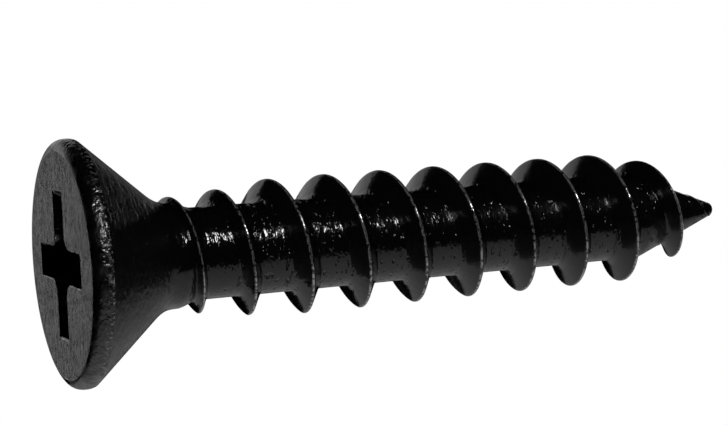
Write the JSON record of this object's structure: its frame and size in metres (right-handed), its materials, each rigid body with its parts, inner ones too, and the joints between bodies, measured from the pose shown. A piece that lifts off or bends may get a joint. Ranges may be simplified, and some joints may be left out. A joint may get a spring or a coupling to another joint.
{
  "type": "sheet metal screw",
  "caption": "Countersunk flat head sheet metal screw with a cross recess, a coarse right-hand thread and a gimlet point, in a black finish.",
  "frame": {"origin": "centre of the head's flat face, which the screw stands on", "axes": "+Z along the screw's axis from the head to the point, +X and +Y along the wings of the cross recess"},
  "size_m": [0.0082, 0.0082, 0.0254],
  "materials": {
    "black_oxide_steel": "black oxide on steel under a film of oil, satin, worn bright along the thread's crest"
  },
  "bodies": {
    "root": {"screw": "black_oxide_steel"}
  },
  "joints": []
}
